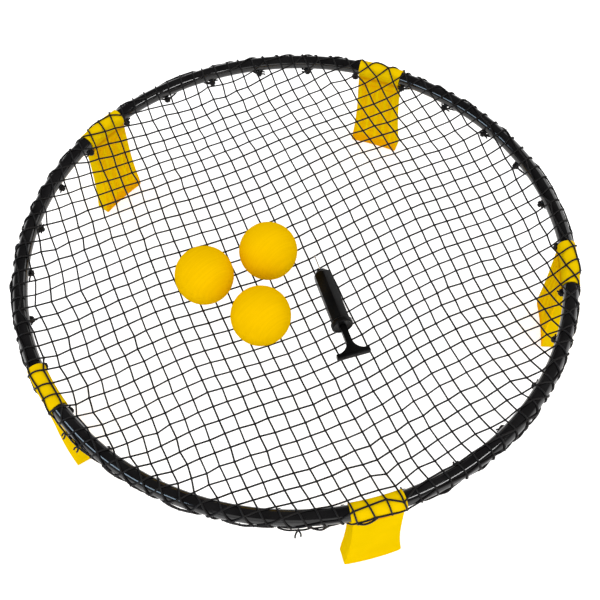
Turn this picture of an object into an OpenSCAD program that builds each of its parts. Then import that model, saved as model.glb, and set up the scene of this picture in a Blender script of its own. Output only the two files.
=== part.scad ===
// Round-net game set: a round rim of five push-together tubes on five legs,
// a square-mesh net stretched over it, three balls and a hand pump on the net.
// Millimetres. The rim stands on the floor at z = 0 with its centre on the Z axis.

/* [Rim] */
// Outside diameter of the round rim, over the tubes
rim_d = 914; // [700:2:1200]
// Outside diameter of one rim tube
tube_d = 24; // [18:0.5:34]
// Wall of a rim tube
tube_wall = 2; // [1.2:0.1:3.5]
// Height of the tubes' centre line above the floor
tube_z = 188; // [130:1:300]

/* [Legs] */
// Length of the sleeve that joins two tubes
sleeve_l = 80; // [60:1:110]
// Wall of the sleeve round its socket
sleeve_wall = 2.1; // [1.5:0.1:4]
// Radial clearance of a tube in its socket
socket_gap = 0.2; // [0.1:0.05:0.5]
// Thickness of the stop between the two sockets
stop_t = 3; // [2:0.5:8]
// Gap between a tube's end and the stop
stop_gap = 0.5; // [0.2:0.1:2]
// Width of the leg below its sleeve
leg_w = 76; // [56:1:100]
// Width of the leg at the floor
foot_w = 92; // [60:1:120]
// Height at which the leg starts to widen
flare_z = 135; // [80:1:150]
// Depth of the leg outwards from the tubes' centre line
leg_out = 12.7; // [9:0.1:20]
// Depth of the leg inwards from the tubes' centre line
leg_in = 13.6; // [9:0.1:20]
// Extra depth of the outer face at the floor
foot_out = 0.8; // [0:0.1:4]
// How far the inner face slopes back at the floor
foot_in = 2.6; // [0:0.1:6]
// Height of the sloping foot of the inner face
foot_h = 26; // [10:1:50]
// Wall of the hollow leg
leg_wall = 3; // [2:0.1:4]
// Radius of the leg's bottom corners
foot_r = 5; // [2:0.5:12]
// Width of the sunk panel in the inner face
panel_w = 56; // [30:1:66]
// Depth of the sunk panel
panel_d = 1.5; // [0.5:0.1:3]
// Height of the sunk panel's lower edge above the sloping foot
panel_up = 3; // [1:0.5:20]
// Width of the ribs in the sunk panel
rib_w = 5; // [2:0.5:10]
// Thickness of the two stiffening webs inside the leg
web_t = 2; // [1:0.1:4]

/* [Hooks] */
// Hooks on each tube
hooks_per_tube = 6; // [3:1:9]
// Direction of the hooks, inwards and down, below the level of the rim
hook_tilt = 45; // [30:1:70]
// Diameter of a hook's stem
hook_d = 6; // [4:0.1:8]
// Diameter of a hook's collar and of its inner head
hook_collar_d = 8.6; // [6:0.1:12]
// Diameter of a hook's tip
hook_tip_d = 7.4; // [5:0.1:11]
// Reach of a hook from the tube's surface to its tip
hook_l = 10.5; // [6:0.5:18]
// Radial clearance of the stem in the tube's hole
hook_gap = 0.1; // [0.05:0.05:0.3]

/* [Net] */
// Spacing of the cords, both ways
mesh = 52; // [44:1:80]
// Direction of the first set of cords, from the X axis
mesh_turn = 29; // [0:1:89]
// Shift of the mesh along its own two directions, which brings a cord under each ball
mesh_shift = [26, 14]; // [-30:1:30]
// Thickness of a cord
cord = 2; // [1.4:0.1:4]
// Clearance between the net and the sleeves it passes over
net_gap = 0.3; // [0.2:0.1:1]
// Cords that wrap round the rim
wraps = 55; // [25:5:85]

/* [Balls] */
// Diameter of a ball
ball_d = 91; // [70:1:110]
// Thickness of a ball's rubber
ball_wall = 2.2; // [1.5:0.1:5]
// Diameter of the rubber valve in a ball
valve_d = 9; // [6:0.5:14]
// Depth of the valve below the ball's surface
valve_l = 12; // [8:0.5:20]
// Clearance between what lies on the net and the net
rest_gap = 0.3; // [0.2:0.1:1]

/* [Pump] */
// Width across the flats of the six-sided barrel
barrel_af = 26.4; // [22:0.2:40]
// Length of the barrel
barrel_l = 100; // [70:1:150]
// Length of the bevel round the barrel's front
bevel_l = 4.5; // [1:0.5:8]
// Depth of the bevel round the barrel's front
bevel_t = 3; // [1:0.5:4]
// Diameter of the barrel's bore
bore_d = 22.6; // [18:0.1:24]
// Thickness of the barrel's front wall
front_t = 4; // [3:0.5:8]
// Diameter of the nozzle boss
nozzle_d = 17; // [12:0.5:22]
// Length of the nozzle boss
nozzle_l = 5; // [3:0.5:10]
// Diameter of the end cap
cap_d = 34; // [32:0.5:50]
// Length of the end cap over the barrel
cap_l = 5; // [4:0.5:14]
// Thickness of the end cap's rear wall
cap_t = 4; // [3:0.5:6]
// Depth of the dish in the end cap's rear face
dish_t = 1.5; // [0.5:0.1:2]
// Bevel of the end cap's and the handle's edges
edge_t = 1.2; // [0.4:0.1:2]
// Clearance of the end cap round the barrel
cap_gap = 0.15; // [0.1:0.05:0.4]
// Diameter of the hole in the end cap
cap_hole_d = 11.6; // [9:0.1:14]
// Width of the plunger's cross-shaped rod
rod_d = 9.6; // [6:0.1:11]
// Thickness of the rod's blades
rod_t = 2.6; // [1.6:0.1:4]
// Length of the rod between the piston and the handle's neck at rest
rod_l = 90; // [60:1:140]
// Length of the handle's neck
neck_l = 45; // [30:1:60]
// Length of the neck's flare to the bar
flare_l = 28; // [12:1:40]
// Length of the handle's bar
bar_w = 52; // [36:1:80]
// Thickness of the handle's bar along the pump
bar_l = 7; // [5:0.5:14]
// Height of the handle's bar
bar_h = 10; // [8:0.5:18]
// Length of the piston
piston_l = 10; // [8:0.5:16]
// Gap between the piston and the front wall when pushed in
piston_gap = 2; // [0.5:0.5:6]
// Radial running clearance of the piston's cup in the bore
cup_gap = 0.05; // [0.02:0.01:0.1]
// Diameter of the needle
needle_d = 2; // [1.6:0.1:3]
// Length of the bare needle
needle_l = 32; // [18:1:40]
// Diameter of the needle's hub, inside the nozzle
hub_d = 7.9; // [6:0.1:9]
// Length of the hub's screwed part
hub_l = 7; // [4:0.5:10]

/* [Hidden] */
$fn = 64;
eps = 0.5;

legs = 5;
leg_step = 360 / legs;
rim_r = (rim_d - tube_d) / 2;
tube_r = tube_d / 2;
socket_r = tube_r + socket_gap;
sleeve_r = socket_r + sleeve_wall;
sleeve_a = 2 * asin(sleeve_l / 2 / rim_r);
tube_end_a = asin((stop_t / 2 + stop_gap) / rim_r);

// Places of what lies on the net: X and Y of each ball, and the turn that points its valve away
ball_1_place = [-134, -87];
ball_2_place = [-39, -37];
ball_3_place = [-42, -156];
ball_places = [ball_1_place, ball_2_place, ball_3_place];
ball_valve_turn = 70;
ball_valve_drop = 35;
// Where the barrel's front rests on the net, and the direction from its needle to its handle
pump_place = [46.5, -57];
pump_turn = -70;

hook_step = leg_step / hooks_per_tube;
net_r = sleeve_r + net_gap;
wrap_end = -(180 - hook_tilt) + asin((hook_d / 2 + net_gap) / (net_r + cord / 2));
wrap_steps = 8;
wrap_facet = cos((90 - wrap_end) / wrap_steps / 2);
net_inner_r = net_r / wrap_facet;
net_top_z = tube_z + net_inner_r + cord;
edge_in = 3;
least_gap = 9;
// The net's border passes outside each leg, from the wrapping cord before it to the one after it
border_r = rim_r + leg_out + net_gap;
border_drop = sqrt(pow(net_r + cord, 2) - pow(border_r - rim_r + cord / 2, 2));
border_a = 2 * (ceil(asin((leg_w / 2 + cord) / rim_r) * wraps / 360) * 360 / wraps
                + asin(cord / border_r));

// ---- Rim ----

// A stretch of ring of the given section radius, centred on the X axis
module ring_part(section_r, angle) {
    translate([0, 0, tube_z])
        rotate([0, 0, -angle / 2])
            rotate_extrude(angle = angle, $fn = 180)
                translate([rim_r, 0])
                    circle(r = section_r, $fn = 48);
}

// Turns the radial plane at the tubes' centre line so that +Z runs along a hook
module hook_place(turn) {
    rotate([0, 0, turn])
        translate([rim_r, 0, tube_z])
            rotate([0, hook_tilt - 180, 0])
                children();
}

function hook_angles() = [for (k = [0 : hooks_per_tube - 1]) (k + 0.5) * hook_step];

module rim_tube(n) {
    span = leg_step - 2 * tube_end_a;
    color("#2b2b2f")
        rotate([0, 0, (n - 1) * leg_step])
            difference() {
                rotate([0, 0, leg_step / 2])
                    difference() {
                        ring_part(tube_r, span);
                        ring_part(tube_r - tube_wall, span + 1);
                    }
                for (a = hook_angles())
                    hook_place(a)
                        cylinder(d = hook_d + 2 * hook_gap, h = tube_d);
            }
}

// One push-in hook: inner head, stem, collar on the tube and a thicker tip
module hook() {
    bore_r = tube_r - tube_wall;
    head_z = sqrt(bore_r * bore_r - pow(hook_collar_d / 2, 2)) - hook_gap;
    collar_z = tube_r + hook_gap;
    tip_z = tube_r + hook_l;
    rotate_extrude($fn = 32)
        polygon([[0, head_z - 1.6], [hook_d / 2, head_z - 1.6],
                 [hook_collar_d / 2, head_z - 0.6], [hook_collar_d / 2, head_z],
                 [hook_d / 2, head_z], [hook_d / 2, collar_z],
                 [hook_collar_d / 2, collar_z], [hook_collar_d / 2, collar_z + 1],
                 [hook_d / 2, collar_z + 1.5], [hook_d / 2, tip_z - 3],
                 [hook_tip_d / 2, tip_z - 2.2], [hook_tip_d / 2, tip_z - 1],
                 [hook_d / 2, tip_z], [0, tip_z]]);
}

module net_hooks(n) {
    color("#141416")
        rotate([0, 0, (n - 1) * leg_step])
            for (a = hook_angles())
                hook_place(a) hook();
}

// ---- Legs ----

// Outline of the leg seen from outside: straight down from the sleeve, then flared to the foot
module leg_front(inset) {
    top_w = leg_w / 2 - inset;
    widen = (foot_w - leg_w) / 2;
    flare_r = (flare_z * flare_z + widen * widen) / (2 * widen);
    corner = foot_r - min(inset, foot_r - 1);
    difference() {
        translate([-foot_w / 2 + inset, 0])
            square([foot_w - 2 * inset, tube_z]);
        for (side = [-1, 1]) {
            translate([side * (top_w + flare_r), flare_z])
                circle(r = flare_r, $fn = 360);
            translate([side * (top_w + foot_w / 2), flare_z + tube_z / 2])
                square([foot_w, tube_z], center = true);
            translate([side * (foot_w / 2 - inset), 0])
                difference() {
                    square(2 * corner, center = true);
                    translate([-side * corner, corner])
                        circle(r = corner, $fn = 32);
                }
        }
    }
}

// Section of the leg, as its distance from the rim's axis and its height
module leg_side(inset, top) {
    polygon([[rim_r - leg_in + foot_in + inset, 0],
             [rim_r - leg_in + inset, foot_h],
             [rim_r - leg_in + inset, top],
             [rim_r + leg_out - inset, top],
             [rim_r + leg_out - inset, foot_h],
             [rim_r + leg_out + foot_out - inset, 0]]);
}

module leg_block(inset, top) {
    intersection() {
        rotate([90, 0, 90])
            translate([0, 0, rim_r - tube_d])
                linear_extrude(2 * tube_d)
                    leg_front(inset);
        rotate([0, 0, -15])
            rotate_extrude(angle = 30, $fn = 180)
                leg_side(inset, top);
    }
}

module leg(n) {
    ceiling = tube_z - socket_r - 2 * sleeve_wall;
    panel_top = ceiling - 8;
    color("#f2c500")
        rotate([0, 0, (n - 1) * leg_step])
            difference() {
                union() {
                    ring_part(sleeve_r, sleeve_a);
                    difference() {
                        leg_block(0, tube_z);
                        // hollow, open at the floor, with two webs
                        difference() {
                            translate([0, 0, -eps])
                                leg_block(leg_wall, ceiling);
                            for (side = [-1, 1])
                                translate([rim_r, side * panel_w / 4, tube_z / 2 + foot_h / 2])
                                    cube([2 * tube_d, web_t, tube_z], center = true);
                        }
                        // sunk panel with its ribs, in the inner face
                        difference() {
                            translate([rim_r - leg_in - eps, -panel_w / 2, foot_h + panel_up])
                                cube([panel_d + eps, panel_w, panel_top - foot_h - panel_up]);
                            for (k = [-1 : 1])
                                translate([rim_r - leg_in, k * panel_w / 3, tube_z / 2])
                                    cube([4 * tube_d, rib_w, tube_z], center = true);
                        }
                    }
                }
                for (side = [-1, 1])
                    rotate([0, 0, side * (sleeve_a / 2 + asin(stop_t / 2 / rim_r))])
                        ring_part(socket_r, sleeve_a);
            }
}

// ---- Net ----

// Path of the net's underside and top side in section: flat to the rim, then round the tubes
function wrap_angle(k) = 90 + (wrap_end - 90) * k / wrap_steps;
function wrap_point(r, k) = [rim_r + r * cos(wrap_angle(k)), tube_z + r * sin(wrap_angle(k))];

module net_section() {
    outer_r = net_inner_r + cord;
    polygon(concat(
        [[0, tube_z + net_inner_r]],
        [for (k = [0 : wrap_steps]) wrap_point(net_inner_r, k)],
        [for (k = [wrap_steps : -1 : 0]) wrap_point(outer_r, k)],
        [[0, tube_z + outer_r]]));
}

module mesh_gaps() {
    reach = rim_r - edge_in - cord;
    rows = ceil(reach / mesh) + 1;
    hole = mesh - cord;
    function near_edge(k, shift) = max(abs(k * mesh + shift) - hole / 2, 0);
    intersection() {
        circle(r = reach, $fn = 180);
        rotate([0, 0, mesh_turn])
            for (i = [-rows : rows], j = [-rows : rows])
                if (norm([near_edge(i, mesh_shift.x), near_edge(j, mesh_shift.y)]) < reach - least_gap)
                    translate([i * mesh + mesh_shift.x, j * mesh + mesh_shift.y])
                        square(hole, center = true);
    }
}

module net() {
    gap_w = 2 * PI * (rim_r + net_r) / wraps - cord;
    leg_gap_w = leg_w + 2 * net_gap;
    color("#151515")
        union() {
            difference() {
                rotate_extrude($fn = 180)
                    net_section();
                translate([0, 0, tube_z])
                    linear_extrude(4 * tube_d)
                        mesh_gaps();
                for (k = [0 : wraps - 1])
                    rotate([0, 0, (k + 0.5) * 360 / wraps])
                        translate([rim_r - edge_in, -gap_w / 2, tube_z - 2 * tube_d])
                            cube([2 * tube_d, gap_w, 4 * tube_d]);
                // the legs' places, below the sleeves
                for (n = [0 : legs - 1])
                    rotate([0, 0, n * leg_step])
                        translate([border_r - 2 * tube_d, -leg_gap_w / 2, tube_z - 2 * tube_d])
                            cube([2 * tube_d, leg_gap_w, 2 * tube_d]);
            }
            for (n = [0 : legs - 1])
                rotate([0, 0, n * leg_step - border_a / 2])
                    rotate_extrude(angle = border_a, $fn = 180)
                        translate([border_r, tube_z - border_drop - cord / 2])
                            square(cord);
        }
}

// ---- Balls ----

// Distance from a place on the net to the edge of the nearest cord, 0 over a cord
function off_cord(along, shift) =
    let (from_middle = abs(along - shift - mesh * round((along - shift) / mesh)))
    max(mesh / 2 - from_middle - cord / 2, 0);
function cord_distance(place) =
    min(off_cord(place.x * cos(mesh_turn) + place.y * sin(mesh_turn), mesh_shift.x),
        off_cord(place.y * cos(mesh_turn) - place.x * sin(mesh_turn), mesh_shift.y));

// A ball rests on the cord nearest to its middle, and sinks into the mesh where that is off to a side
module ball_place(n) {
    place = ball_places[n - 1];
    rise = sqrt(pow(ball_d / 2 + rest_gap, 2) - pow(cord_distance(place), 2));
    translate([place.x, place.y, net_top_z + rise])
        children();
}

// Turns +Z to the direction of the valve, behind and below the ball
module valve_place() {
    rotate([0, 90 + ball_valve_drop, ball_valve_turn])
        children();
}

module ball(n) {
    color("#f5c400")
        ball_place(n)
            difference() {
                sphere(d = ball_d, $fn = 96);
                difference() {
                    sphere(d = ball_d - 2 * ball_wall, $fn = 96);
                    // thick seat round the valve
                    valve_place()
                        cylinder(d = 2 * valve_d, h = ball_d);
                }
                valve_place() {
                    translate([0, 0, ball_d / 2 - valve_l])
                        cylinder(d = valve_d, h = valve_l + eps);
                    translate([0, 0, -eps])
                        cylinder(d = 2 * valve_d + eps, h = ball_d / 2 - valve_l + eps);
                }
            }
}

// Plug of the valve, with the dimple where the needle goes in
module ball_valve(n) {
    plug_r = valve_d / 2 - 0.02;
    mouth_z = sqrt(pow(ball_d / 2, 2) - pow(plug_r, 2));
    color("#c99c00")
        ball_place(n)
            valve_place()
                translate([0, 0, ball_d / 2 - valve_l])
                    difference() {
                        cylinder(r = plug_r, h = mouth_z - ball_d / 2 + valve_l);
                        translate([0, 0, mouth_z - ball_d / 2 + valve_l - 1.2])
                            cylinder(d1 = 0.6, d2 = 2.6, h = 1.2 + eps);
                    }
}

// ---- Pump ----

// The pump lies on the edge behind its front bevel and on its end cap; +X runs from the needle to the handle
barrel_r = barrel_af / 2;
bevel_r = barrel_r / cos(30) - bevel_t;
bevel_slope = bevel_t / bevel_l;
rest_x = max((barrel_r - bevel_r) / bevel_slope, 0);
cap_front = barrel_l - cap_l;
pump_tilt = atan((cap_d / 2 - barrel_r) / (cap_front + edge_t - rest_x));

module pump_frame() {
    translate([pump_place[0], pump_place[1], net_top_z + rest_gap])
        rotate([0, -pump_tilt, pump_turn])
            translate([-rest_x, 0, barrel_r])
                children();
}

// Round bar along the pump's axis, from x = from to x = to
module bar_x(d, from, to) {
    translate([from, 0, 0])
        rotate([0, 90, 0])
            cylinder(d = d, h = to - from);
}

// Six-sided bar along the pump's axis, with flats above and below
module hex_x(af, from, to) {
    translate([from, 0, 0])
        rotate([0, 90, 0])
            rotate([0, 0, 30])
                cylinder(d = af / cos(30), h = to - from, $fn = 6);
}

module pump_barrel() {
    color("#1c1c1e")
        pump_frame()
            difference() {
                union() {
                    intersection() {
                        hex_x(barrel_af, 0, barrel_l);
                        translate([-eps, 0, 0])
                            rotate([0, 90, 0])
                                cylinder(r1 = bevel_r - bevel_slope * eps,
                                         r2 = bevel_r + bevel_slope * (barrel_l + 1),
                                         h = barrel_l + 1 + eps);
                    }
                    bar_x(nozzle_d, -nozzle_l, eps);
                }
                bar_x(bore_d, front_t, barrel_l + eps);
                bar_x(hub_d + 0.1, -nozzle_l - eps, hub_l - nozzle_l);
                bar_x(needle_d, hub_l - nozzle_l - eps, front_t + eps);
            }
}

module pump_cap() {
    rim = cap_d / 2;
    back = cap_l + cap_t;
    color("#1c1c1e")
        pump_frame()
            difference() {
                translate([cap_front, 0, 0])
                    rotate([0, 90, 0])
                        rotate_extrude($fn = 64)
                            polygon([[0, 0], [rim - edge_t, 0], [rim, edge_t], [rim, back - edge_t],
                                     [rim - edge_t, back], [rim - 2 * edge_t, back],
                                     [rim - 2 * edge_t - dish_t, back - dish_t], [0, back - dish_t]]);
                hex_x(barrel_af + 2 * cap_gap, cap_front - eps, barrel_l + 0.1);
                bar_x(cap_hole_d, barrel_l - eps, barrel_l + cap_t + 1);
            }
}

// Needle with its screwed hub; the bore runs through both
module pump_needle() {
    hub_back = hub_l - nozzle_l - 0.1;
    tip = -nozzle_l - 2.5 - needle_l;
    color("#d9dadc")
        pump_frame()
            difference() {
                union() {
                    bar_x(hub_d, -nozzle_l, hub_back);
                    bar_x(hub_d + 1.6, -nozzle_l - 2.5, -nozzle_l - 0.05);
                    bar_x(needle_d, tip + 1, hub_back);
                    translate([tip + 1, 0, 0])
                        sphere(d = needle_d, $fn = 24);
                }
                bar_x(needle_d / 2, tip + 3, hub_back + eps);
            }
}

piston_x = front_t + piston_gap;
rod_x = piston_x + piston_l;
neck_x = rod_x + rod_l;
bar_x0 = neck_x + neck_l;

module pump_plunger() {
    neck_w = rod_d;
    flare_w = (bar_w - neck_w) / 2 - 2;
    color("#1c1c1e")
        pump_frame()
            union() {
                for (turn = [0, 90])
                    rotate([turn, 0, 0])
                        translate([rod_x - piston_l / 2, -rod_d / 2, -rod_t / 2])
                            cube([rod_l + piston_l / 2 + 1, rod_d, rod_t]);
                // neck that flares to the bar in two hollow curves
                translate([neck_x, 0, -rod_d / 2])
                    linear_extrude(rod_d)
                        difference() {
                            translate([0, -bar_w / 2])
                                square([neck_l + 1, bar_w]);
                            for (side = [-1, 1]) {
                                translate([neck_l - flare_l, side * (neck_w / 2 + flare_w)])
                                    curve_cut(flare_l, flare_w);
                                translate([-1, side > 0 ? neck_w / 2 : -bar_w])
                                    square([neck_l - flare_l + 1, bar_w - neck_w / 2]);
                                translate([-1, side > 0 ? neck_w / 2 + flare_w - eps : -bar_w])
                                    square([neck_l + 0.8, bar_w - neck_w / 2 - flare_w + eps]);
                            }
                        }
                // bar with bevelled edges, and a groove along its top and bottom
                translate([bar_x0, bar_w / 2, 0])
                    rotate([90, 0, 0])
                        linear_extrude(bar_w)
                            handle_bar();
            }
}

module handle_bar() {
    side_z = bar_h / 2 - edge_t;
    groove_x = bar_l * 0.4;
    difference() {
        polygon([[0, -side_z], [edge_t, -bar_h / 2], [bar_l - edge_t, -bar_h / 2], [bar_l, -side_z],
                 [bar_l, side_z], [bar_l - edge_t, bar_h / 2], [edge_t, bar_h / 2], [0, side_z]]);
        for (side = [-1, 1])
            translate([groove_x, side * bar_h / 2])
                square([0.9, 1.4], center = true);
    }
}

// Quarter curve that hollows one side of the neck, as a polygon of an ellipse
module curve_cut(len_x, len_y) {
    polygon([for (a = [0 : 10 : 350]) [len_x * cos(a), len_y * sin(a)]]);
}

module pump_piston() {
    groove_x = piston_x + 3;
    color("#3a3a3d")
        pump_frame()
            difference() {
                union() {
                    bar_x(bore_d - 1.4, piston_x, piston_x + 3);
                    bar_x(bore_d - 8, groove_x - eps, rod_x - 2);
                    bar_x(bore_d - 1.4, rod_x - 2.5, rod_x);
                }
                for (turn = [0, 90])
                    rotate([turn, 0, 0])
                        translate([rod_x - piston_l / 2 - 0.1, -rod_d / 2 - 0.1, -rod_t / 2 - 0.1])
                            cube([piston_l, rod_d + 0.2, rod_t + 0.2]);
            }
}

module pump_cup_seal() {
    color("#2a2a2a")
        pump_frame()
            difference() {
                bar_x(bore_d - 2 * cup_gap, piston_x + 3.1, rod_x - 2.6);
                bar_x(bore_d - 7.9, piston_x, rod_x);
            }
}

// ---- Assembly ----

rim_tube(1);  // rim_tube_1
rim_tube(2);  // rim_tube_2
rim_tube(3);  // rim_tube_3
rim_tube(4);  // rim_tube_4
rim_tube(5);  // rim_tube_5
leg(1);  // leg_1
leg(2);  // leg_2
leg(3);  // leg_3
leg(4);  // leg_4
leg(5);  // leg_5
net_hooks(1);  // net_hooks_1
net_hooks(2);  // net_hooks_2
net_hooks(3);  // net_hooks_3
net_hooks(4);  // net_hooks_4
net_hooks(5);  // net_hooks_5
net();
ball(1);  // ball_1
ball(2);  // ball_2
ball(3);  // ball_3
ball_valve(1);  // ball_valve_1
ball_valve(2);  // ball_valve_2
ball_valve(3);  // ball_valve_3
pump_barrel();
pump_cap();
pump_needle();
pump_plunger();
pump_piston();
pump_cup_seal();
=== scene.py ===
"""Looks of a round-net game set: a round rim on five legs, its net, three balls and a hand pump."""

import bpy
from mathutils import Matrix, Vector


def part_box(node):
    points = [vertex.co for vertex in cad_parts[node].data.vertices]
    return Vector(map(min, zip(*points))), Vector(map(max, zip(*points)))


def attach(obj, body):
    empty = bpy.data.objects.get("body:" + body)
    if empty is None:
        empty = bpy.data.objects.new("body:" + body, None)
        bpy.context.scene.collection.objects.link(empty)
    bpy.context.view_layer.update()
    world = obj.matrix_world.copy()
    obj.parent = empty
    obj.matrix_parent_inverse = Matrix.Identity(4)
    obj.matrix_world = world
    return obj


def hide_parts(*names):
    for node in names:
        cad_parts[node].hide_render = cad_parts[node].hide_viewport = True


bl_info = {
    "name": "Round-net game set",
    "version": (1, 0, 0),
    "blender": (4, 5, 0),
    "location": "View3D > Sidebar > Round net",
    "description": "Dresses the frame of a round-net game set with its net, mouldings, balls and pump",
    "category": "Object",
}

from math import atan2, cos, pi, radians, sin, sqrt

import bpy
import numpy as np
from bpy.props import FloatProperty, FloatVectorProperty, IntProperty, PointerProperty
from bpy.types import NodeSocket, Operator, Panel, PropertyGroup, Scene
from mathutils import Matrix, Vector
from numpy.linalg import norm

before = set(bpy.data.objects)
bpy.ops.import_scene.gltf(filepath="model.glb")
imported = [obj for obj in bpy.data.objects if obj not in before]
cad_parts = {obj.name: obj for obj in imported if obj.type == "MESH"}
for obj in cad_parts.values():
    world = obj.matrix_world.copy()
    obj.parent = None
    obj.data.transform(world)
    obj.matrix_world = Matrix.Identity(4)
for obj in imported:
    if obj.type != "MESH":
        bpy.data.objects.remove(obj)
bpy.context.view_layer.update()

MM = 0.001
UP = np.array([0.0, 0.0, 1.0])
LEGS = 5
HOOKS_PER_TUBE = 6
LEG_STEP = 2 * pi / LEGS
HOOK_STEP = LEG_STEP / HOOKS_PER_TUBE
HOOK_TURNS = [HOOK_STEP * (n + 0.5) for n in range(LEGS * HOOKS_PER_TUBE)]

# The rim's own measures, read from the frame's tubes, legs and net
TUBE_LOW, TUBE_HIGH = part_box("rim_tube_3")
TUBE_R = (TUBE_HIGH.z - TUBE_LOW.z) / 2
TUBE_Z = (TUBE_HIGH.z + TUBE_LOW.z) / 2
NET_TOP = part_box("net")[1].z
SLEEVE_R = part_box("leg_3")[1].z - TUBE_Z
RIM_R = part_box("leg_1")[1].x - SLEEVE_R


# ---- Sizes and colours ----


def number(name, default, description, low=0.0, unit="NONE"):
    return FloatProperty(name=name, default=default, description=description, min=low, unit=unit)


def length(name, default, description, low=0.0):
    return number(name, default, description, low, "LENGTH")


def colour(part, default):
    return FloatVectorProperty(name=part.capitalize(), default=default, description=f"Colour of the {part}",
                               size=3, min=0, max=1, subtype="COLOR")


class RimLook(PropertyGroup):
    """Tubes, legs and hooks."""

    tube_colour: colour("gloss tubes", (0.0040, 0.0036, 0.0040))
    # The legs are one plastic: the inner walls' and the foot's colours are copies of it with painted shade,
    # the deeper orange it shows where less light falls
    leg_colour: colour("moulded legs", (0.86, 0.57, 0.0))
    leg_shaded_inner: colour("legs' shaded inner walls", (1.0, 0.58, 0.0))
    leg_shaded_foot: colour("sloped foot of the inner walls", (1.0, 0.48, 0.0))
    hook_colour: colour("net hooks", (0.006, 0.006, 0.006))
    leg_round: length("Leg edge radius", 0.0016, "Rounding of the legs' edges")


class NetLook(PropertyGroup):
    """The net and its loops on the hooks."""

    cord_d: length("Cord", 0.0028, "Diameter of the net's cord", 0.0005)
    knot_d: length("Knot", 0.0044, "Size of the knots", 0.0005)
    mesh: length("Mesh", 0.0240, "Side of one mesh, knot to knot", 0.005)
    tail: length("Tail", 0.0070, "Length of a cut end past its knot")
    steps: IntProperty(name="Steps", default=420, min=1, description="Steps of the net's settling")
    cord_colour: colour("net's cord", (0.0100, 0.0085, 0.0085))


class BallLook(PropertyGroup):
    """The balls and their valves."""

    ball_colour: colour("balls' rubber", (0.90, 0.532, 0.0))
    valve_colour: colour("valves' rubber", (0.55, 0.33, 0.0))


class PumpLook(PropertyGroup):
    """The hand pump."""

    pump_colour: colour("pump's plastic", (0.0030, 0.0028, 0.0028))
    needle_colour: colour("needle's metal", (0.80, 0.80, 0.81))


class StageLook(PropertyGroup):
    """Floor, camera and lamps."""

    floor_size: length("Floor", 30.0, "Side of the floor")
    floor_glow: number("Floor glow", 0.6, "Light of the floor's own")
    room_light: number("Room light", 0.98, "Soft light from all round")
    ceiling: number("Ceiling", 0.10, "How light the ceiling mirrors")
    lamp_power: number("Lamp power", 5.5, "Power of the main lamp")


SEAL_COLOUR = (0.02, 0.02, 0.02)
PATCH_SIZE = 0.03

# Roughness and its drift, grain size, bump's strength and depth, colour's drift, wear, shine
FINISHES = {
    "Gloss tube": (0.09, 0.02, 0.0004, 0.03, 0.00001, 0.20, 0.08, 0.50),
    "Hook nylon": (0.38, 0.06, 0.0004, 0.10, 0.00003, 0.20, 0.20, 0.25),
    "Leg plastic": (0.40, 0.05, 0.0005, 0.08, 0.00004, 0.02, 0.10, 0.00),
    "Ball rubber": (0.45, 0.05, 0.0005, 0.05, 0.00002, 0.02, 0.10, 0.00),
    "Valve rubber": (0.55, 0.05, 0.0005, 0.10, 0.00003, 0.03, 0.10, 0.25),
    "Pump plastic": (0.34, 0.03, 0.0004, 0.02, 0.00001, 0.10, 0.10, 0.10),
    "Seal rubber": (0.60, 0.05, 0.0005, 0.10, 0.00003, 0.10, 0.20, 0.25),
    "Needle metal": (0.20, 0.05, 0.0003, 0.03, 0.00002, 0.03, 0.20, 0.50),
}


# ---- Shader node helpers ----


def fill(node, inputs):
    """Links a node's inputs to outputs, or gives them values."""
    for key, value in inputs.items():
        if isinstance(value, NodeSocket):
            node.id_data.links.new(value, node.inputs[key])
        else:
            node.inputs[key].default_value = value


def add_node(tree, kind, inputs=None, **settings):
    """A shader node of that kind, with its settings and its inputs."""
    node = tree.nodes.new(f"ShaderNode{kind}")
    for name, value in settings.items():
        setattr(node, name, value)
    fill(node, inputs or {})
    return node


def arrange(tree):
    """Lays the nodes out in columns, with the output at the right."""
    column = {node.name: 0 for node in tree.nodes}
    for _ in tree.nodes:
        for wire in tree.links:
            name = wire.from_node.name
            column[name] = max(column[name], column[wire.to_node.name] + 1)
    rows = [0] * len(column)
    for name, place in column.items():
        tree.nodes[name].location = (-220 * place, -260 * rows[place])
        rows[place] += 1


def empty_tree(owner):
    """The node tree of a new material or world, emptied."""
    owner.use_nodes = True
    owner.node_tree.nodes.clear()
    return owner.node_tree


def new_material(name):
    """An empty node material with its Principled shader, and that shader."""
    material = bpy.data.materials.new(name)
    tree = empty_tree(material)
    shader = add_node(tree, "BsdfPrincipled")
    add_node(tree, "OutputMaterial", {"Surface": shader.outputs["BSDF"]})
    return material, tree, shader


def base_colour(material):
    """A material's node tree, its Principled shader, and the output that colours it now."""
    shader = material.node_tree.nodes["Principled BSDF"]
    return material.node_tree, shader, shader.inputs["Base Color"].links[0].from_socket


def maths(tree, operation, a, b=None, clamp=False):
    """A Math node's result; a and b are numbers or outputs."""
    inputs = {0: a} if b is None else {0: a, 1: b}
    return add_node(tree, "Math", inputs, operation=operation, use_clamp=clamp).outputs[0]


def mix_colour(tree, factor, a, b, blend="MIX"):
    """A colour Mix node's result; factor, a and b are values or outputs."""
    a, b = (c if isinstance(c, NodeSocket) else (*c[:3], 1) for c in (a, b))
    inputs = {0: factor, 6: a, 7: b}
    return add_node(tree, "Mix", inputs, data_type="RGBA", blend_type=blend).outputs[2]


def mix_value(tree, factor, a, b):
    """A number Mix node's result."""
    return add_node(tree, "Mix", {0: factor, 2: a, 3: b}).outputs[0]


def remap(tree, value, low, high, start, end):
    """A value mapped from start..end to low..high."""
    return add_node(tree, "MapRange", {0: value, 1: start, 2: end, 3: low, 4: high}).outputs[0]


def band(tree, value, middle, strength, near, far):
    """A soft band of that strength where the value is near its middle, gone beyond far from it."""
    off = maths(tree, "ABSOLUTE", maths(tree, "SUBTRACT", value, middle))
    return remap(tree, off, strength, 0, near, far)


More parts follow.
